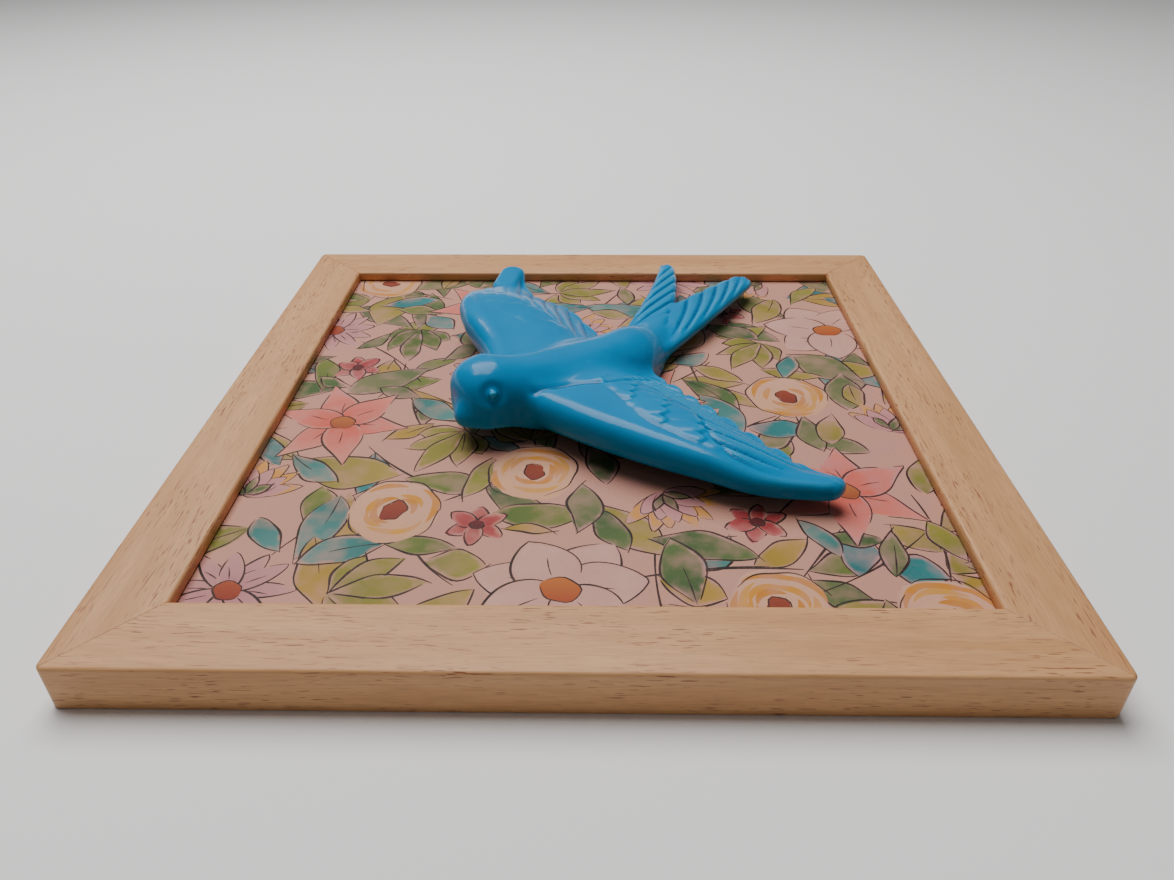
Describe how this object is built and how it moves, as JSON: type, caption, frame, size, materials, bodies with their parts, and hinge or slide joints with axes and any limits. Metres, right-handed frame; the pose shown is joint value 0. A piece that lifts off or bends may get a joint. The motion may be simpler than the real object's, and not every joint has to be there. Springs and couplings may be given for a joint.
{
  "type": "azulejo tile panel",
  "caption": "Square tile panel with a printed floral picture in a mitred wood frame, with a glazed ceramic swallow fixed on its face, made to hang flat on a wall.",
  "frame": {"origin": "middle of the flat back of the tile, which is flush with the back of the frame and lies against the wall", "axes": "+Z out of the picture, away from the wall; +Y up the picture; +X to the right as seen from the front"},
  "size_m": [0.23, 0.23, 0.0331],
  "materials": {
    "frame_wood": "satin",
    "printed_tile": "matte",
    "turquoise_glaze": "gloss"
  },
  "bodies": {
    "root": {"rail_front": "frame_wood", "rail_right": "frame_wood", "rail_back": "frame_wood", "rail_left": "frame_wood", "tile_panel": "printed_tile", "swallow": "turquoise_glaze"}
  },
  "joints": []
}
